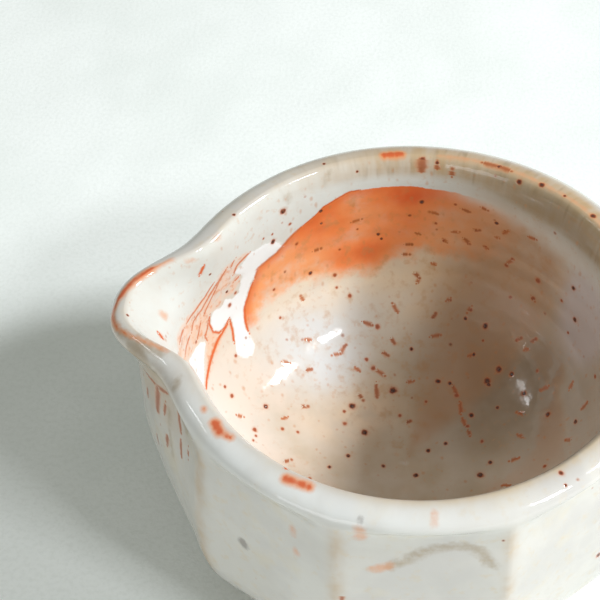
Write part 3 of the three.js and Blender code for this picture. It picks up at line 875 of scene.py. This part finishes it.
def glaze_colours(tree, place, base, value, ragged):
    """The blush, the orange wash, thin brown trails and the white that ran over them."""
    border = shaken(tree, value["blush_border"], ragged, 0.15)
    crisp = together(tree, "MULTIPLY", edge(tree, border, 0.2, -0.3), value["blush_line"])
    beyond = together(tree, "SUBTRACT", 1.0, value["blush_line"])
    hazy = together(tree, "MULTIPLY", edge(tree, border, 0.6, -4.5), beyond)
    blush_inside = together(tree, "ADD", crisp, hazy)
    fading = mottle(tree, place, 5, 0, 1, -4.5, 4.5)
    kept = edge(tree, together(tree, "ADD", value["blush_foot"], fading), 3.2, -3.2)
    along_border = edge(tree, value["blush_border"], -3.2, -0.2, 0.7)
    clouded = together(tree, "MULTIPLY", value["blush"], mottle(tree, place, 7, 0.25, 0.75, 0.75, 1.25))
    wash_edge = shaken(tree, value["wash"], ragged, 0.9)
    lip_edge = shaken(tree, value["lip"], ragged, 0.25)
    return layered(tree, base, [
        (BLUSH_PALE, blush_inside, kept, value["blush_fade"], mottle(tree, place, 4, 0.2, 0.6, 0.55, 0.95)),
        (BLUSH_ORANGE, blush_inside, edge(tree, clouded, 0.02, 0.4, 0.9)),
        (BLUSH_RED, blush_inside, edge(tree, clouded, 0.3, 0.8, 0.9)),
        (BLUSH_DEEP, blush_inside, edge(tree, clouded, 0.75, 1.2, 0.8)),
        ("BC8A58", blush_inside, mottle(tree, place, 3, 0.52, 0.74, 0, 0.4)),
        ("B88C66", blush_inside, beyond, 0.55),
        ("DE6A34", blush_inside, kept, value["blush_line"], along_border),
        ("F0B184", edge(tree, wash_edge, 0.8, -1.2, 0.7), mottle(tree, place, 3, 0.3, 0.62, 0.15, 0.75)),
        ("D8804A", edge(tree, wash_edge, -0.1, -0.9, 0.45), mottle(tree, place, 1.6, 0.5, 0.64)),
        ("9C8664", edge(tree, shaken(tree, value["brown"], ragged, 0.8), 0.9, -1.1, 0.55)),
        ("D9976A", edge(tree, shaken(tree, value["smudge"], ragged, 0.5), 0.8, -0.8, 0.65)),
        ("E38E52", edge(tree, lip_edge, 0.9, -0.3, 0.75)),
        ("CC5526", edge(tree, lip_edge, 0.1, -0.6, 0.85)),
        ("8C8580", edge(tree, shaken(tree, value["grey"], ragged, 0.5), 0.5, -0.7, 0.8)),
        ("ECEDEC", edge(tree, shaken(tree, value["white"], ragged, 0.4), 0.3, -0.5, 0.97)),
    ])


print("deepest blush as linear", [round(c, 3) for c in linear(BLUSH_DEEP)])


# %% The specks
IRON_BROWN = "533529"


def glaze_specks(tree, place, painted, value, ragged, mark):
    """Specks and dashes: small random ones, and over them the drawn ones."""
    drawn, iron_share, softness = mark
    outside = together(tree, "SUBTRACT", 1.0, value["within"])
    swirl = add(tree, "ShaderNodeTexNoise", {"Vector": place, "Scale": 0.4, "Detail": 1.0}).outputs["Color"]
    stretched = add(tree, "ShaderNodeVectorMath", {0: place, 1: (1, 1, 0.6)}, operation="MULTIPLY")
    bent = add(tree, "ShaderNodeVectorMath", {0: stretched, 1: swirl}, operation="ADD")
    rust = shaken(tree, flecks(tree, bent, 2.2, 0.75, 0.42), outside, 0.4)
    small = shaken(tree, flecks(tree, place, 4.4, 0.3, 0.42), outside, 0.15)
    small = shaken(tree, small, ragged, 0.3)
    core = edge(tree, drawn, 0.12, -0.25)
    faded = edge(tree, drawn, 0.3, -0.4)
    firm = together(tree, "SUBTRACT", 1.0, softness)
    blackened = together(tree, "MULTIPLY", together(tree, "SUBTRACT", iron_share, 0.5), 2.0)
    halo = together(tree, "SUBTRACT", 0.55, together(tree, "MULTIPLY", iron_share, 0.2))
    return layered(tree, painted, [
        ("C4824E", edge(tree, rust, 0.25, -0.25, 0.42)),
        ("B4683C", edge(tree, small, 0.3, -0.05, 0.5)),
        ("5A3322", edge(tree, small, 0.05, -0.3, 0.8)),
        ("D0824A", edge(tree, drawn, 0.5, -0.2), halo),
        ("D5602E", core, firm, 0.9),
        ("AC5A2C", faded, softness, 0.75),
        ("7A3C24", core, iron_share, 0.9),
        (IRON_BROWN, blackened, edge(tree, drawn, 0.02, -0.42, 0.95)),
    ])


print("iron brown as linear", [round(c, 3) for c in linear(IRON_BROWN)])


# %% The whole glaze
GLASS_IOR = 1.52


def speckled_white_glaze():
    """Dipped white stoneware glaze, fired glossy: glassy, milky and speckled from below."""
    material, tree, shader, place = new_material("speckled_white_glaze")
    value = {name: stored(tree, name) for name in fields}
    ragged = mottle(tree, place, 1.5, 0, 1, -1, 1)
    distance, iron_share, softness = drawn_mark(tree, place)
    mark = (shaken(tree, distance, mottle(tree, place, 1.1, 0, 1, -1, 1, 1.0), 0.14), iron_share, softness)
    painted = glaze_colours(tree, place, glaze_body(tree, place, value), value, ragged)
    speckled = glaze_specks(tree, place, painted, value, ragged, mark)
    bare = edge(tree, shaken(tree, value["clay"], ragged, 0.2), 0.45, 0.6)
    sandy = mottle(tree, place, 0.8, 0.45, 0.7)
    shown = layered(tree, speckled, [("B98E67", bare), ("8A5E3C", bare, sandy)])
    gloss = shaken(tree, mottle(tree, place, 9, 0.35, 0.7, 0.06, 0.13), bare, 0.6)
    tree.links.new(gloss.outputs[0], shader.inputs["Roughness"])
    waves = mottle(tree, place, 9, 0, 1, 0, 0.2, 1.0)
    pits = edge(tree, mark[0], 0.3, -0.3, -0.03)
    pools = edge(tree, value["white"], 0.7, -1.2, 0.16)
    ripples = mottle(tree, place, 1.8, 0, 1, 0, 0.02, 1.0)
    dress(tree, shader, shown, together(tree, "ADD", waves, ripples, pits, pools))
    shader.inputs["IOR"].default_value = GLASS_IOR
    return material


glaze = speckled_white_glaze()
print("glaze nodes", len(glaze.node_tree.nodes))


# %% [markdown]
# ## The bare clay
# The foot isn't glazed, or it would stick to the kiln shelf. Turned stoneware is dry, sandy and
# warm grey-brown, toasted to rust in places, with dark grains of iron. Grains of sand under a
# millimetre show as mottling and as a slight bump, which spares a very fine mesh.

# %% Bare clay
def turned_stoneware():
    """Unglazed fired clay: rough, so that it takes the light without a shine."""
    material, tree, shader, place = new_material("turned_stoneware")
    colour = layered(tree, linear("B08A66"), [
        ("CBAA85", mottle(tree, place, 0.7, 0.4, 0.65)),
        ("A9623A", mottle(tree, place, 9, 0.48, 0.7, 0, 0.55)),
        ("402A1E", edge(tree, flecks(tree, place, 2.2, 0.6, 0.3), 0.1, -0.1, 0.85)),
    ])
    dress(tree, shader, colour, mottle(tree, place, 0.7, 0, 1, 0, 0.15))
    shader.inputs["Roughness"].default_value = 0.82
    return material


clay = turned_stoneware()
print("clay nodes", len(clay.node_tree.nodes))


# %% [markdown]
# ## The wall as one piece
# Bowl and spout are one skin on the real pitcher, so one mesh takes the place of both parts.
# Two meshes that meet would be nearer to the list of parts, but a seam would catch the light.

# %% The glazed wall
wall = wall_mesh(glaze)
around = np.radians(degrees_of.ravel())
signed_way = np.where(is_inside[ring_of].ravel(), 1, -1) * skin_distance[ring_of].ravel()
flow = np.stack([INSIDE_RADIUS * np.cos(around), INSIDE_RADIUS * np.sin(around), signed_way], axis=1)


def store(piece, name, domain, values):
    """Writes one number or one vector per vertex or per face under a name."""
    kind, key = ("FLOAT", "value") if values.ndim == 1 else ("FLOAT_VECTOR", "vector")
    layer = piece.data.attributes.new(name, kind, domain)
    layer.data.foreach_set(key, values.astype(np.float32).ravel())


def with_ends(values):
    """Adds the two points on the axis, first and last, as zeros."""
    end = np.zeros((1,) + values.shape[1:])
    return np.concatenate([end, values, end])


for name, values in {**fields, "flow": flow}.items():
    store(wall, name, "POINT", with_ends(values))
face_middles = np.empty(len(wall.data.polygons) * 3, np.float32)
wall.data.polygons.foreach_get("center", face_middles)
nearest = nearest_samples(face_middles.reshape(-1, 3) / MM)
for name, values in zip(("mark_place", "mark_way", "mark_kind"), nearest):
    store(wall, name, "FACE", values)
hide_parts("bowl", "spout")
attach(wall, "root")
print("wall faces", len(wall.data.polygons), "attributes", len(wall.data.attributes))


# %% [markdown]
# ## The foot ring, by Geometry Nodes
# A turned foot follows a rule: one small profile carried round a circle, with the fine grooves
# of the turning tool. A lathe-like mesh could be typed in, but a tree of nodes says the rule
# itself, and each size stays a named input that can be changed.

# %% A tree with named inputs
def new_tree(name, sizes):
    """An empty Geometry Nodes tree with a geometry input and one float input per size."""
    tree = bpy.data.node_groups.new(name, "GeometryNodeTree")
    tree.interface.new_socket("Geometry", in_out="INPUT", socket_type="NodeSocketGeometry")
    for label in sizes:
        tree.interface.new_socket(label, in_out="INPUT", socket_type="NodeSocketFloat")
    tree.interface.new_socket("Geometry", in_out="OUTPUT", socket_type="NodeSocketGeometry")
    return tree, add(tree, "NodeGroupInput").outputs


def grown_mesh(name, start, tree, sizes):
    """Runs the tree on an object and returns what it made as a plain mesh piece."""
    source = in_scene(name + "_source", start)
    modifier = source.modifiers.new(name, "NODES")
    modifier.node_group = tree
    for socket in tree.interface.items_tree:
        if socket.in_out == "INPUT" and socket.name in sizes:
            modifier[socket.identifier] = sizes[socket.name]
    evaluated = source.evaluated_get(bpy.context.evaluated_depsgraph_get())
    mesh = bpy.data.meshes.new_from_object(evaluated)
    source.modifiers.remove(modifier)
    bpy.data.objects.remove(source)
    mesh.name = name
    mesh.shade_smooth()
    print(name, len(mesh.polygons), "faces")
    return in_scene(name, mesh)


# %% The foot ring
FOOT_SIZES = {
    "Outer radius": FOOT_RADIUS * MM, "Ring width": 6.5 * MM, "Ring height": FOOT_HEIGHT * MM,
    "Edge bevel": 0.9 * MM, "Groove depth": 0.05 * MM, "Groove pitch": 0.8 * MM, "Axis x": AXIS_X * MM,
}


def foot_tree():
    """A filleted box section swept round a circle, then grooved as by a turning tool."""
    tree, given = new_tree("turned_foot_ring", FOOT_SIZES)
    half = add(tree, "ShaderNodeMath", {0: given["Ring width"], 1: 0.5}, operation="MULTIPLY")
    middle = add(tree, "ShaderNodeMath", {0: given["Outer radius"], 1: half}, operation="SUBTRACT")
    circle = add(tree, "GeometryNodeCurvePrimitiveCircle", {"Resolution": 240, "Radius": middle})
    box_size = {"Width": given["Ring width"], "Height": given["Ring height"]}
    box = add(tree, "GeometryNodeCurvePrimitiveQuadrilateral", box_size)
    bevel = {"Curve": box, "Radius": given["Edge bevel"], "Count": 5}
    rounded = add(tree, "GeometryNodeFilletCurve", bevel, mode="POLY")
    section_curve = add(tree, "GeometryNodeResampleCurve", {"Curve": rounded, "Count": 90})
    ring = add(tree, "GeometryNodeCurveToMesh", {"Curve": circle, "Profile Curve": section_curve})
    lift = add(tree, "ShaderNodeMath", {0: given["Ring height"], 1: 0.5}, operation="MULTIPLY")
    shift = add(tree, "ShaderNodeCombineXYZ", {"X": given["Axis x"], "Z": lift})
    placed = add(tree, "GeometryNodeTransform", {"Geometry": ring, "Translation": shift})
    position = add(tree, "GeometryNodeInputPosition")
    up = add(tree, "ShaderNodeSeparateXYZ", {0: position}).outputs["Z"]
    turns = add(tree, "ShaderNodeMath", {0: up, 1: given["Groove pitch"]}, operation="DIVIDE")
    turned = together(tree, "MULTIPLY", turns, 2 * math.pi)
    wave = add(tree, "ShaderNodeMath", {0: turned}, operation="SINE")
    cut = add(tree, "ShaderNodeMath", {0: wave, 1: 1.0}, operation="SUBTRACT")
    depth = together(tree, "MULTIPLY", cut, 0.5, given["Groove depth"])
    outward = add(tree, "GeometryNodeInputNormal")
    inward = add(tree, "ShaderNodeVectorMath", {0: outward, "Scale": depth}, operation="SCALE")
    grooved = add(tree, "GeometryNodeSetPosition", {"Geometry": placed, "Offset": inward})
    whole = add(tree, "GeometryNodeRealizeInstances", {"Geometry": grooved})
    finished = add(tree, "GeometryNodeSetMaterial", {"Geometry": whole, "Material": clay})
    add(tree, "NodeGroupOutput", {"Geometry": finished})
    return tree


foot = grown_mesh("foot_ring_clay", bpy.data.meshes.new("empty"), foot_tree(), FOOT_SIZES)
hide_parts("foot_ring")
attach(foot, "root")
print("foot ring spans", [round(v, 2) for v in np.ptp([v.co for v in foot.data.vertices], axis=0) / MM])


# %% [markdown]
# ## Iron blisters, by Geometry Nodes
# Where a grain of iron sits in the clay it melts and swells the glaze a little: a low dark bump
# with a shine of its own. The same small dome repeats at each iron speck inside, turned to the
# wall there. Fifty domes could be copied by hand, but a tree that puts instances of one dome on
# points follows every change in the list of specks.

# %% Blister material
def melted_iron():
    """Iron oxide melted into glass: almost black, brown where it is thin, and very glossy."""
    material, tree, shader, place = new_material("melted_iron")
    dress(tree, shader, layered(tree, linear("4A3029"), [("7A4C38", mottle(tree, place, 0.5, 0.45, 0.65))]))
    shader.inputs["Roughness"].default_value = 0.12
    shader.inputs["IOR"].default_value = GLASS_IOR
    return material


iron = melted_iron()
print("iron nodes", len(iron.node_tree.nodes))


# %% Where the blisters sit
def speck_points():
    """A mesh of loose points, one per iron speck, that knows its radius and which way is out."""
    degrees, walked, radius = np.array(IRON_SPECKS).T
    here = spots("in", np.stack([degrees, walked], axis=1))
    beside = spots("in", np.stack([degrees + 0.5, walked], axis=1)) - here
    below = spots("in", np.stack([degrees, walked + 0.5], axis=1)) - here
    out = np.cross(below, beside)
    out /= np.linalg.norm(out, axis=1)[:, None]
    mesh = bpy.data.meshes.new("speck_points")
    mesh.from_pydata((here * MM).tolist(), [], [])
    size_layer = mesh.attributes.new("radius", "FLOAT", "POINT")
    size_layer.data.foreach_set("value", (radius * MM).astype(np.float32))
    way_layer = mesh.attributes.new("out", "FLOAT_VECTOR", "POINT")
    way_layer.data.foreach_set("vector", out.astype(np.float32).ravel())
    return mesh, out


points_mesh, out_ways = speck_points()
print("specks that face up", int((out_ways[:, 2] > 0).sum()), "of", len(out_ways))

# %% The blisters
BLISTER_SIZES = {"Share of radius": 0.62, "Height": 0.1 * MM, "Uneven": 0.15}
BLISTER_SEED = 5


def blister_tree():
    """Low domes of a few dozen faces, one on each point, sized by the point's own radius."""
    tree, given = new_tree("iron_blisters", BLISTER_SIZES)
    radius = add(tree, "GeometryNodeInputNamedAttribute", {"Name": "radius"}, data_type="FLOAT").outputs[0]
    out = add(tree, "GeometryNodeInputNamedAttribute", {"Name": "out"}, data_type="FLOAT_VECTOR").outputs[0]
    least = add(tree, "ShaderNodeMath", {0: 1.0, 1: given["Uneven"]}, operation="SUBTRACT")
    chance = add(tree, "FunctionNodeRandomValue", {2: least, 3: 1.0, "Seed": BLISTER_SEED}).outputs[1]
    wide = together(tree, "MULTIPLY", radius, given["Share of radius"], chance)
    tall = together(tree, "MULTIPLY", given["Height"], chance)
    scale = add(tree, "ShaderNodeCombineXYZ", {"X": wide, "Y": wide, "Z": tall})
    turn = add(tree, "FunctionNodeAlignRotationToVector", {"Vector": out}, axis="Z")
    dome = add(tree, "GeometryNodeMeshUVSphere", {"Segments": 12, "Rings": 6, "Radius": 1.0})
    domes = add(tree, "GeometryNodeInstanceOnPoints", {
        "Points": given["Geometry"], "Instance": dome.outputs["Mesh"], "Rotation": turn, "Scale": scale,
    })
    whole = add(tree, "GeometryNodeRealizeInstances", {"Geometry": domes})
    finished = add(tree, "GeometryNodeSetMaterial", {"Geometry": whole, "Material": iron})
    add(tree, "NodeGroupOutput", {"Geometry": finished})
    return tree


blisters = grown_mesh("iron_blisters", points_mesh, blister_tree(), BLISTER_SIZES)
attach(blisters, "root")
print("corners of one blister", len(blisters.data.vertices) // len(IRON_SPECKS))


# %% [markdown]
# ## Table, light and room
# The pitcher stands on a pale cloth. A window of two panes to the right gives the soft-edged
# shadow and the two shines inside. A narrow pane behind gives the small shines on the lip, and a
# pale wall and the room give the rest. One large lamp would be simpler, but glaze mirrors its
# surroundings, and the shines tell the eye that it is glass.

# %% Table
TABLE_SIZE = 6000


def cloth_table():
    """Bleached cotton laid flat: matt, faintly uneven, its weave drawn coarser so that it shows."""
    material, tree, shader, place = new_material("bleached_cotton")
    colour = layered(tree, linear("F7FCFA"), [("EFF5F2", mottle(tree, place, 60, 0.4, 0.65, 0, 0.8)),
                                              ("E3E9E5", mottle(tree, place, 1.2, 0.4, 0.7, 0, 0.3))])
    shader.inputs["Roughness"].default_value = 0.95
    shader.inputs["Specular IOR Level"].default_value = 0.15
    folds = mottle(tree, place, 70, 0, 1, 0, 1.6, 2.0)
    weave = mottle(tree, place, 1.1, 0, 1, 0, 0.06, 2.0)
    dress(tree, shader, colour, together(tree, "ADD", folds, weave))
    half = TABLE_SIZE / 2
    corners = [(-half, -half, 0), (half, -half, 0), (half, half, 0), (-half, half, 0)]
    piece = make_object("table", corners, [(0, 1, 2, 3)], material)
    return piece


table = cloth_table()
print("table", [round(v, 1) for v in table.dimensions], "m")


# %% Light and room
def window_pane(name, azimuth, elevation, power, wide=0.31, tall=0.2, distance=1.7):
    """A lit rectangle that looks at the bowl from a compass angle (0 = +X, 90 = +Y) and height.

    Angles are in degrees, power in watts, width, height and distance in metres.
    """
    a, e = math.radians(azimuth), math.radians(elevation)
    direction = Vector((math.cos(a) * math.cos(e), math.sin(a) * math.cos(e), math.sin(e)))
    data = bpy.data.lights.new(name, "AREA")
    data.shape = "RECTANGLE"
    data.size = wide
    data.size_y = tall
    data.energy = power
    data.color = linear("FAFCFF")[:3]
    lamp = in_scene(name, data)
    lamp.location = direction * distance
    lamp.rotation_euler = direction.to_track_quat("Z", "Y").to_euler()


window_pane("window_right", -1, 40.5, 24.3)
window_pane("window_left", -31, 40, 9.5)
window_pane("window_behind", 172, 41, 0.75, 0.37, 0.062)
window_pane("pale_wall", -118, 11, 4.3, 0.93, 0.62)
world = bpy.data.worlds.new("room")
world.use_nodes = True
world.node_tree.nodes["Background"].inputs["Color"].default_value = linear("E4E5DC")
world.node_tree.nodes["Background"].inputs["Strength"].default_value = 0.4
bpy.context.scene.world = world
bpy.context.scene.view_settings.view_transform = "Standard"

# %% [markdown]
# ## Camera
# It looks down at about 48 degrees from the side of the bowl, with the spout to the left. The
# rim's circle in the photograph gave its place, as shares of the rim's radius. A camera that
# tracks an empty would be easier to move, but it has no roll of its own.

# %% Camera
VIEW_ANGLE = 25
SENSOR_WIDTH = 36
LENS = SENSOR_WIDTH / 2 / math.tan(math.radians(VIEW_ANGLE / 2))
BACK, UP, RIM_PLANE_DROP = 3.6223, 4.0214, 0.0225  # in rim radii
YAW, PITCH, ROLL = math.radians(-7.05), math.radians(-47.51), math.radians(-2.74)


def place_camera():
    """Looks along yaw and pitch, then rolls, from one side of the rim and well above it."""
    view = Vector((math.sin(YAW) * math.cos(PITCH), math.cos(YAW) * math.cos(PITCH), math.sin(PITCH)))
    right = view.cross(Vector((0, 0, 1))).normalized()
    up = right.cross(view)
    across = math.cos(ROLL) * right + math.sin(ROLL) * up
    upward = -math.sin(ROLL) * right + math.cos(ROLL) * up
    rotation = Matrix((across, upward, -view)).transposed()
    rim_plane = HEIGHT - RIM_PLANE_DROP * RIM_RADIUS
    place = Vector((AXIS_X, -BACK * RIM_RADIUS, UP * RIM_RADIUS + rim_plane))
    data = bpy.data.cameras.new("camera")
    data.lens = LENS
    piece = in_scene("camera", data)
    piece.matrix_world = Matrix.Translation(place * MM) @ rotation.to_4x4()
    return piece


camera = place_camera()
bpy.context.scene.camera = camera
print("camera", [round(v, 3) for v in camera.matrix_world.translation], "m, lens", round(LENS, 1))
